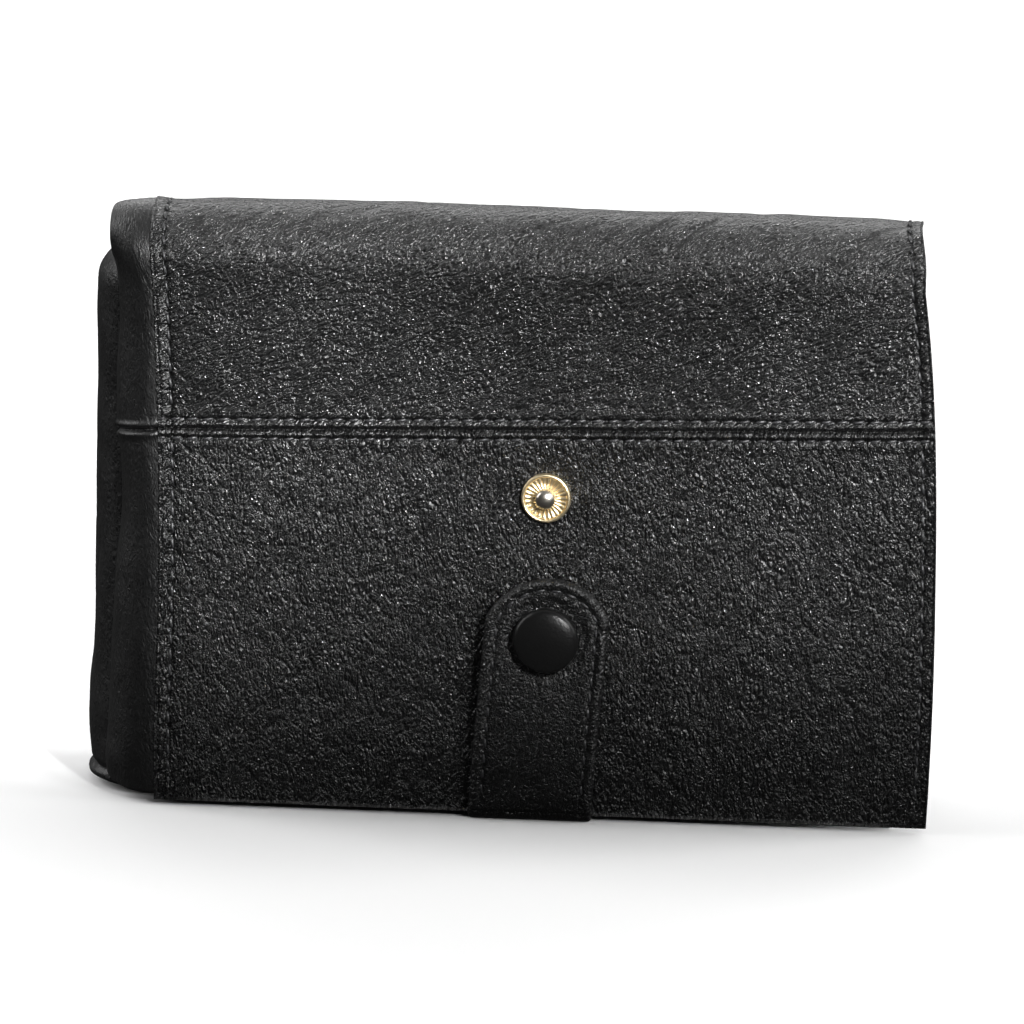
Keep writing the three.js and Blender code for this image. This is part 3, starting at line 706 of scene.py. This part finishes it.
# ---------- back and base ----------
def back_and_base():
    """One piece of leather from under the back seam down the back and forward under the base."""
    r, channel = 4.0, 14.9
    x_low, x_high = BASE_LO[0] + 0.2, BACK_RIGHT
    back_y = BACK - 0.1 - r
    back_length = (BACK_FOLD_Z - BACK_DROP + BACK_LAP) - r
    bend_end = back_length + r * math.pi / 2
    total = bend_end + (BACK - r) - BASE_LO[1]
    t = spaced(total, 1.2, [(back_length + 3, 5, 0.4)])
    channel_edges = [(STRAP_MID + side * channel - x_low, 1.2, 0.25) for side in (-1, 1)]
    u = spaced(x_high - x_low, 1.2, channel_edges)
    uu, tt = np.meshgrid(u, t, indexing="ij")
    a = np.clip((tt - back_length) / r, 0, math.pi / 2)
    y = np.where(tt < bend_end, back_y + r * np.cos(a), back_y - (tt - bend_end))
    z = np.where(tt < back_length, r + back_length - tt, r - r * np.sin(a)) + 0.05
    normal = np.stack([np.zeros_like(y), np.cos(a), -np.sin(a)], -1)
    # the front corner on the left is cut away behind the border strip
    corner = 8.0 * smooth((tt - total + 13) / 13)
    x = x_low + uu + corner * np.clip(1 - uu / 40, 0, 1)
    edge = np.minimum(np.minimum(uu, x_high - x_low - uu), np.minimum(tt, total - tt))
    h = 0.35 * noise2(x / 40, tt / 36, 71) + 0.12 * noise2(x / 9, tt / 8, 72)
    h = h * (1 - smooth(a / 0.5))
    # the strap passes under the base in a shallow channel
    under = smooth((a - 0.2) / 0.8)
    h -= 2.0 * under * (1 - smooth((np.abs(x - STRAP_MID) - 14.6) / 0.9))
    h += 0.08 * creases(x, tt, 30, 12, 3, 73)
    uv = np.stack([x, tt + 200], -1)
    points = np.stack([x, y, z], -1)
    obj = sheet("back_and_base", points, normal, edge, LEATHER, h, uv, UPPER_LEATHER, flip=True)
    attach(obj, "case")
    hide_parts("back_cover", "base_cover")


# ---------- the strap ----------
def strap_line():
    """Points (y, z) along the strap's outer face, from its sewn end on the back to its tip."""
    points = [(STRAP_BACK, z) for z in np.linspace(SEWN_HI[2], 3.2, 30)]
    points += [(STRAP_BACK - 3 + 3 * math.cos(a), 3.05 - 3 * math.sin(a))
               for a in np.linspace(0.1, math.pi / 2, 12)]
    points += [(y, 0.05) for y in np.linspace(STRAP_BACK - 4, STRAP_FOOT + 2.6, 40)]
    points += [(STRAP_FOOT + 2.2 - 2.2 * math.sin(a), 2.25 - 2.2 * math.cos(a))
               for a in np.linspace(0.1, math.pi / 2, 10)]
    snap_y = TAB_LO[1] - 0.1
    for z in np.linspace(2.6, STRAP_TIP, 90):
        rise = math.sin(min(1.0, z / 34) * math.pi / 2)
        points.append((STRAP_FOOT + (snap_y - STRAP_FOOT) * rise, z))
    points = np.array(points)
    step = np.hypot(*np.diff(points, axis=0).T)
    return points, np.concatenate([[0], np.cumsum(step)])


STRAP_POINTS, STRAP_S = strap_line()
STRAP_LENGTH = STRAP_S[-1]


def strap_at(t):
    """(y, z) and outward normal at a distance t along the strap's outer face."""
    def at(q):
        return np.interp(q, STRAP_S, STRAP_POINTS[:, 0]), np.interp(q, STRAP_S, STRAP_POINTS[:, 1])

    y, z = at(t)
    (y0, z0), (y1, z1) = at(t - 0.6), at(t + 0.6)
    dy, dz = y1 - y0, z1 - z0
    size = np.maximum(np.hypot(dy, dz), 1e-9)
    return y, z, -dz / size, dy / size


def strap_shape(t):
    """Middle x, half width and distance above the floor at a distance t along the strap."""
    up = np.maximum(t - (STRAP_LENGTH - STRAP_TIP), 0)
    mid = STRAP_MID + STRAP_LEAN * up
    beyond = np.clip(up - TIP_CENTRE, 0, TIP_RADIUS)
    half = np.where(up > SHOULDER, np.sqrt(np.maximum(TIP_RADIUS**2 - beyond**2, 0)), STRAP_HALF)
    return mid, np.minimum(half, STRAP_HALF), up


def strap_edge(a, up):
    """How far a place lies inside the strap's outline."""
    side = STRAP_HALF - np.abs(a)
    tip = TIP_RADIUS - np.hypot(a, np.maximum(up - TIP_CENTRE, 0))
    return np.maximum(np.minimum(side, np.where(up > TIP_CENTRE, tip, side)), 0)


def strap_height(a, t, up, edge):
    """How far the strap's surface stands off its nominal face: padded, stitched, hollow at the cap."""
    h = 0.25 * noise2(a / 11 + 2, t / 13, 81) + 0.1 * noise2(a / 4, t / 4, 82)
    h += 0.35 * (1 - (a / STRAP_HALF) ** 2)
    h += 0.3 * bump(edge - 1.2, 0.8) - 0.28 * bump(edge - STRAP_INSET, 0.5)
    h += 0.09 * creases(a, t, 70, 8, 2.2, 83)
    r = np.hypot(STRAP_MID + STRAP_LEAN * up + a - CAP_X, up - CAP_Z)
    h -= 0.55 * bump(r - 8.4, 1.3) + 0.5 * (r < 7.6)
    return h


def strap():
    """The leather strap from its sewn end on the back, under the base and up to its tip."""
    tip = np.array([0.05, 0.12, 0.22, 0.36, 0.55, 0.8, 1.1, 1.5, 2.0])
    t = np.unique(np.concatenate([spaced(STRAP_LENGTH, 0.55)[:-1], STRAP_LENGTH - tip]))
    even = np.linspace(-1, 1, 74)
    q = np.sin(even * math.pi / 2) * 0.55 + even * 0.45
    qq, tt = np.meshgrid(q, t, indexing="ij")
    mid, half, up = strap_shape(tt)
    a = qq * half
    y, z, ny, nz = strap_at(tt)
    edge = np.minimum(strap_edge(a, up), tt)
    normal = np.stack([np.zeros_like(y), ny, nz], -1)
    points = np.stack([mid + a, y, z], -1)
    floor_side = smooth((up - 1.5) / 5) + (tt < 30)
    h = strap_height(a, tt, up, edge) * np.clip(floor_side, 0, 1)
    uv = np.stack([a + 300, tt], -1)
    obj = sheet("strap_leather", points, normal, edge, STRAP_THICK, h, uv, STRAP_LEATHER)
    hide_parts("strap_outer_tab", "strap_lining_tab", "strap_outer_sewn", "strap_lining_sewn")
    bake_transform(obj)


def strap_stitches():
    """Stitches up one side of the strap, round its tip and down the other side."""
    reach = STRAP_HALF - STRAP_INSET
    ring = TIP_RADIUS - STRAP_INSET
    sweep = math.asin(reach / ring)
    foot, side_top = 5.5, TIP_CENTRE + ring * math.cos(sweep)
    line = [(-reach, u) for u in np.arange(foot, side_top, 0.5)]
    line += [(ring * math.sin(b), TIP_CENTRE + ring * math.cos(b))
             for b in np.linspace(-sweep, sweep, 60)]
    line += [(reach, u) for u in np.arange(side_top, foot, -0.5)]
    line = np.array(line)
    size = np.concatenate([[0], np.cumsum(np.hypot(*np.diff(line, axis=0).T))])
    places = np.arange(PITCH / 2, size[-1], size[-1] / round(size[-1] / PITCH))

    def on_strap(q):
        a, up = np.interp(q, size, line[:, 0]), np.interp(q, size, line[:, 1])
        t = up + STRAP_LENGTH - STRAP_TIP
        y, z, ny, nz = strap_at(t)
        h = strap_height(a, t, up, strap_edge(a, up))
        mid = STRAP_MID + STRAP_LEAN * up
        return np.stack([mid + a, y + ny * h, z + nz * h], -1), np.stack([0 * y, ny, nz], -1)

    points, normals = on_strap(places)
    ahead, _ = on_strap(places + 0.3)
    obj = stitch_row("strap_stitches", points, ahead - points, normals)
    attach(obj, "strap")


def flat_row(name, corners_xz, y, body, radius=STITCH_RADIUS):
    """Stitches along straight runs, given as pairs of (x, z) ends, on a face that looks back."""
    places, along = [], []
    for (ax, az), (bx, bz) in corners_xz:
        span = math.hypot(bx - ax, bz - az)
        count = round(span / PITCH)
        for f in (np.arange(count) + 0.5) / count:
            places.append([ax + (bx - ax) * f, y, az + (bz - az) * f])
            along.append([(bx - ax) / span, 0, (bz - az) / span])
    face = np.array([[0, 1.0, 0]] * len(places))
    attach(stitch_row(name, np.array(places), np.array(along), face, radius), body)


def strap_end_stitches():
    """A box of stitches with one diagonal, where the strap is sewn to the back."""
    x0, x1 = STRAP_MID - (STRAP_HALF - STRAP_INSET), STRAP_MID + (STRAP_HALF - STRAP_INSET)
    low, high = 5.0, SEWN_HI[2] - 3.0
    box = [(x0, low), (x1, low), (x1, high), (x0, high), (x0, low), (x1, high)]
    flat_row("strap_end_stitches", list(zip(box, box[1:])), STRAP_BACK + 0.15, "case")


# ---------- snap cap and studs ----------
def snap_cap():
    """The leather-covered cap of the snap: a rolled rim and a domed face."""
    r, back = (CAP_HI[0] - CAP_LO[0]) / 2, CAP_HI[1] + 0.5
    depth = back - CAP_LO[1]
    profile = [(0.0, 0.0), (r - 0.9, 0.0), (r - 0.25, 0.3)]
    for k in range(13):
        b = math.radians(-25 + 100 * k / 12)
        profile.append((r - 1.7 + 1.7 * math.cos(b), depth - 2.75 + 1.9 * math.sin(b)))
    for k in range(1, 10):
        q = 1 - k / 9
        profile.append(((r - 1.3) * q, depth - 0.9 + 0.9 * (1 - q * q) ** 0.8))
    cap = lathe("snap_cap", profile, (CAP_X, back, CAP_Z), CAP_LEATHER, around=96)
    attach(cap, "strap")
    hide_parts("cap_cover", "cap_shell")


def stud(name, node):
    """A snap stud: a fluted gold disc with a rolled rim and a pewter ball knob."""
    lo, hi = corners(node)
    x, z, r = (lo[0] + hi[0]) / 2, (lo[2] + hi[2]) / 2, (hi[0] - lo[0]) / 2
    back = hi[1] + 0.75
    rim = [(0.0, -0.2), (r - 0.3, -0.2), (r, 0.15), (r, 1.25)]
    for k in range(9):
        b = math.pi * k / 8
        rim.append((r - 0.42 + 0.42 * math.cos(b), 1.35 + 0.42 * math.sin(b)))
    dish = [(r - 0.95 - (r - 3.2) * k / 12, 1.15 - 0.25 * math.sin(math.pi * k / 12)) for k in range(13)]
    inner = [(2.2, 1.3), (1.7, 1.3), (0.0, 1.3)]

    def fluted(radius, angle):
        window = smooth((radius - 2.25) / 0.35) * (1 - smooth((radius - (r - 1.25)) / 0.3))
        return float(window) * 0.3 * (abs(math.cos(FLUTES * angle / 2)) ** 0.5 - 0.6)

    disc = lathe(name + "_rim", rim + dish + inner, (x, back, z), GOLD, around=FLUTES * 12,
                 relief=fluted)
    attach(disc, "lid")
    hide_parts(node)
    knob = [(0.0, 1.0), (1.75, 1.0), (1.7, 1.6)]
    for k in range(15):
        b = math.radians(-42 + 132 * k / 14)
        knob.append((KNOB_HALF * math.cos(b), 2.75 + 1.45 * math.sin(b)))
    knob[-1] = (0.0, knob[-1][1])
    ball = lathe(name + "_ball", knob, (x, back, z), PEWTER, around=48)
    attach(ball, "lid")
    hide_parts(node.replace("_disc", "_knob"))


# ---------- the lined inside ----------
def block_shell(half, step):
    """Points on the surface of a box and the quads between them, side by side."""
    verts, faces, count = [], [], 0

    def places(axis):
        t = np.linspace(-1, 1, max(5, int(2 * half[axis] / step) + 1))
        return half[axis] * (0.85 * t + 0.15 * t**3)

    for axis in range(3):
        u, v = (axis + 1) % 3, (axis + 2) % 3
        uu, vv = np.meshgrid(places(u), places(v), indexing="ij")
        for side in (-1, 1):
            points = np.zeros((uu.size, 3))
            points[:, axis], points[:, u], points[:, v] = side * half[axis], uu.ravel(), vv.ravel()
            faces += grid_faces(*uu.shape, count, side < 0).tolist()
            verts.append(points)
            count += uu.size
    return np.concatenate(verts), faces


def soft_block(name, node, body, radius, seed, step=2.2, unevenness=0.25):
    """A suede-covered part with rounded edges and a slightly uneven surface."""
    lo, hi = corners(node)
    half, middle = (hi - lo) / 2, (hi + lo) / 2
    r = min(radius, half.min() * 0.96)
    verts, faces = block_shell(half, step)
    core = np.clip(verts, -(half - r), half - r)
    out = verts - core
    out /= np.maximum(np.linalg.norm(out, axis=1), 1e-9)[:, None]
    x, y, z = verts.T
    rough = noise2(x / 17 + y / 9 + seed, z / 15 - y / 11, seed + 5)
    verts = middle + core + out * (r - unevenness * (0.7 + rough))[:, None]
    obj = mesh_object(name, verts, faces, SUEDE, crease=0)
    tidy(obj, 50)
    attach(obj, body)
    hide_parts(node)


def ring_roll(number):
    """A padded roll across the tray, gathered at both ends, with a seam along its back."""
    node = "ring_roll_%d" % number
    lo, hi = corners(node)
    radius, y, z = (hi[2] - lo[2]) / 2, (hi[1] + lo[1]) / 2, (hi[2] + lo[2]) / 2
    length = hi[0] - lo[0]
    ends = np.array([0, 0.15, 0.5, 1.0, 1.7, 2.6, 3.8])
    x = np.concatenate([ends, np.arange(5.2, length - 5.2, 1.5), length - ends[::-1]])
    turn = np.arange(96) * 2 * math.pi / 96
    xx, tt = np.meshgrid(x, turn, indexing="ij")
    near = np.minimum(xx, length - xx)
    share = np.clip(near / 4.2, 0, 1)
    plump = 0.42 + 0.58 * np.sqrt(1 - (1 - share) ** 2)
    uneven = noise2(xx / 12 + number * 3, np.cos(tt) * 1.7 + 3, 90 + number)
    gathers = 0.30 * np.cos(15 * tt + number) * bump(near - 2.4, 2.6)
    seam = 0.7 * bump(np.arctan2(np.sin(tt - 0.6), np.cos(tt - 0.6)) * radius, 0.8)
    rr = radius * plump * 0.985 - 0.35 * np.abs(uneven) + gathers - seam
    rr = np.minimum(rr, radius + 0.1)
    verts = np.stack([lo[0] + xx, y + rr * np.cos(tt), z + rr * np.sin(tt)], -1).reshape(-1, 3).tolist()
    rows, around = len(x), len(turn)
    faces = []
    for i in range(rows - 1):
        for j in range(around):
            k = (j + 1) % around
            faces.append([i * around + j, i * around + k, (i + 1) * around + k, (i + 1) * around + j])
    for row, x_end in ((0, lo[0] + 0.6), (rows - 1, hi[0] - 0.6)):
        verts.append([x_end, y, z])
        for j in range(around):
            faces.append([row * around + j, row * around + (j + 1) % around, len(verts) - 1])
    obj = mesh_object("roll_%d" % number, verts, faces, SUEDE, crease=0)
    tidy(obj, 60)
    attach(obj, "case")
    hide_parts(node)


def zip_teeth():
    """Metal teeth that reach in turn from the upper and the lower tape."""
    lo, hi = corners("zip_teeth")
    middle = (lo + hi) / 2
    half, core_half = np.array([0.62, (hi[1] - lo[1]) / 2, 1.15]), np.array([0.35, 0.4, 0.85])
    pitch, reach, radius = 1.5, 0.38, 0.27
    shell, quads = block_shell(half, 9)
    core = np.clip(shell, -core_half, core_half)
    out = shell - core
    out /= np.linalg.norm(out, axis=1)[:, None]
    tooth = core + out * radius
    verts, faces = [], []
    for k, x in enumerate(np.arange(lo[0] + 0.8, hi[0] - 0.7, pitch)):
        base = len(verts) * len(shell)
        verts.append(tooth + [x, middle[1] + 0.1, middle[2] + (reach if k % 2 else -reach)])
        faces += [[base + c for c in quad] for quad in quads]
    obj = mesh_object("zip_row", np.concatenate(verts), faces, GOLD, crease=0)
    tidy(obj, 50)
    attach(obj, "lid")
    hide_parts("zip_teeth")


def softened(name, node, width):
    """A copy of a packed gold part that moves on its own, with its edges rounded off."""
    source = frame["nodes"][node]
    mesh = source.data.copy()
    mesh.transform(source.matrix_world)
    mesh.materials.clear()
    mesh.materials.append(GOLD)
    obj = bpy.data.objects.new(name, mesh)
    bpy.context.scene.collection.objects.link(obj)
    tidy(obj, 30)
    bevel = obj.modifiers.new("bevel", "BEVEL")
    bevel.width, bevel.segments, bevel.angle_limit = width * MM, 3, math.radians(30)
    bpy.context.view_layer.update()
    baked = bpy.data.meshes.new_from_object(obj.evaluated_get(bpy.context.evaluated_depsgraph_get()))
    obj.modifiers.clear()
    obj.data = baked
    tidy(obj, 35)
    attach(obj, node)
    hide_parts(node)


def stitched_border(name, node, sides, inset):
    """Stitches round a flat part inside the lid, on its open face."""
    lo, hi = corners(node)
    x0, x1, z0, z1 = lo[0] + inset, hi[0] - inset, lo[2] + inset, hi[2] - inset
    runs = {"left": ((x0, z1), (x0, z0)), "foot": ((x0, z0), (x1, z0)),
            "right": ((x1, z0), (x1, z1)), "head": ((x0, z1), (x1, z1))}
    flat_row(name, [runs[side] for side in sides], hi[1] - 0.18, "lid", radius=0.26)


def inside():
    """Ring rolls, dividers and the lid's pocket with its zip."""
    for number in range(1, 7):
        ring_roll(number)
    soft_block("main_divider", "divider_main", "case", 0.9, 1)
    soft_block("shelf", "divider_shelf", "case", 0.9, 2)
    soft_block("small_divider", "divider_small", "case", 0.9, 3)
    soft_block("pocket_panel", "lid_pocket", "lid", 0.6, 4, step=1.6, unevenness=0.3)
    stitched_border("pocket_stitches", "lid_pocket", ("left", "foot", "right", "head"), 2.5)
    stitched_border("tape_stitches", "zip_tape_upper", ("head",), 1.4)
    zip_teeth()
    softened("slider_body", "zip_slider", 0.45)
    softened("puller_tab", "zip_puller", 0.4)


def finish_packed_parts():
    """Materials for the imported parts, some of which are shown as they are."""
    finish = {"board": BOARD, "suede": SUEDE, "tape": TAPE, "gold": GOLD, "pewter": PEWTER,
              "black_leather": SMOOTH_LEATHER, "smooth_leather": SMOOTH_LEATHER}
    for part in frame["record"]["subparts"]:
        node = frame["nodes"][part["node"]]
        node.data.materials.clear()
        node.data.materials.append(finish[part["material_slot"]])


# ---------- camera, floor and light ----------
def camera(azimuth, elevation, roll, distance, lens, aim):
    """A camera that looks at aim: angles in degrees, the distance and aim in metres."""
    data = bpy.data.cameras.new("camera")
    data.lens, data.sensor_width = lens, 36
    data.dof.use_dof = False
    data.clip_start, data.clip_end = 0.05, 50
    obj = bpy.data.objects.new("camera", data)
    bpy.context.scene.collection.objects.link(obj)
    a, e = math.radians(azimuth), math.radians(elevation)
    back = Vector((math.sin(a) * math.cos(e), -math.cos(a) * math.cos(e), math.sin(e)))
    obj.location = aim + back * distance
    turn = (-back).to_track_quat("-Z", "Y").to_matrix() @ Matrix.Rotation(math.radians(roll), 3, "Z")
    obj.rotation_euler = turn.to_euler()
    bpy.context.scene.camera = obj


def lamp(name, kind, place, aim, power):
    """A white light of a kind at place that points to aim, both in metres; its power in watts."""
    light = bpy.data.lights.new(name, kind)
    light.energy = power
    obj = bpy.data.objects.new(name, light)
    bpy.context.scene.collection.objects.link(obj)
    obj.location = Vector(place)
    obj.rotation_euler = (Vector(aim) - Vector(place)).to_track_quat("-Z", "Y").to_euler()
    return light


def softbox(name, place, aim, size, power):
    """A rectangular soft light."""
    light = lamp(name, "AREA", place, aim, power)
    light.shape, light.size, light.size_y = "RECTANGLE", size[0], size[1]


def spot(name, place, aim, degrees, power):
    """A narrow light with a soft edge."""
    light = lamp(name, "SPOT", place, aim, power)
    light.shadow_soft_size = 0.04
    light.spot_size, light.spot_blend = math.radians(degrees), 1.0


def white_floor(half):
    """A plain white floor that reaches half metres to each side."""
    mesh = bpy.data.meshes.new("floor")
    mesh.from_pydata(
        [(-half, -half, 0), (half, -half, 0), (half, half, 0), (-half, half, 0)], [], [(0, 1, 2, 3)])
    mesh.materials.append(plain("floor_white", (0.92, 0.92, 0.92), 0.8, specular=0.1))
    floor = bpy.data.objects.new("floor", mesh)
    floor.visible_glossy = False
    bpy.context.scene.collection.objects.link(floor)


def faint_world():
    """A faint white light from all sides."""
    world = bpy.data.worlds.new("studio")
    world.use_nodes = True
    world.node_tree.nodes["Background"].inputs["Color"].default_value = (1, 1, 1, 1)
    world.node_tree.nodes["Background"].inputs["Strength"].default_value = 0.03
    bpy.context.scene.world = world


def studio_lights():
    """Soft light on the floor and the top, and light from the upper right on the front leather."""
    softbox("top", (0.05, 1.05, 1.5), (0.05, 1.05, 0), (3.4, 2.4), 22)
    softbox("far", (0.0, 2.6, 1.6), (0, 1.8, 0), (3.0, 1.6), 50)
    softbox("side_left", (-1.9, 0.2, 1.2), (0, -0.1, 0), (1.6, 1.6), 36)
    softbox("side_right", (1.9, 0.2, 1.2), (0, -0.1, 0), (1.6, 1.6), 38)
    softbox("key", (0.62, -0.72, 0.50), (0, 0, 0.09), (0.20, 0.20), 3)
    for name, x, power in (("left", -0.060, 136), ("middle", 0.012, 54), ("right", 0.088, 116)):
        spot("spot_" + name, (x + 0.42, -0.85, 0.50), (x, FRONT * MM, 0.098), 8.5, power)


panels()
panel_stitches()
border_strip()
padded_ends()
back_and_base()
strap()
strap_stitches()
strap_end_stitches()
snap_cap()
stud("upper_stud", "stud_upper_disc")
stud("lower_stud", "stud_lower_disc")
inside()
finish_packed_parts()
white_floor(half=4.0)
faint_world()
studio_lights()
camera(azimuth=7, elevation=12, roll=0.6, distance=3.0, lens=456.6,
       aim=Vector((-0.0005, 0.002, 0.0667)))
bpy.context.scene.view_settings.view_transform = "Standard"
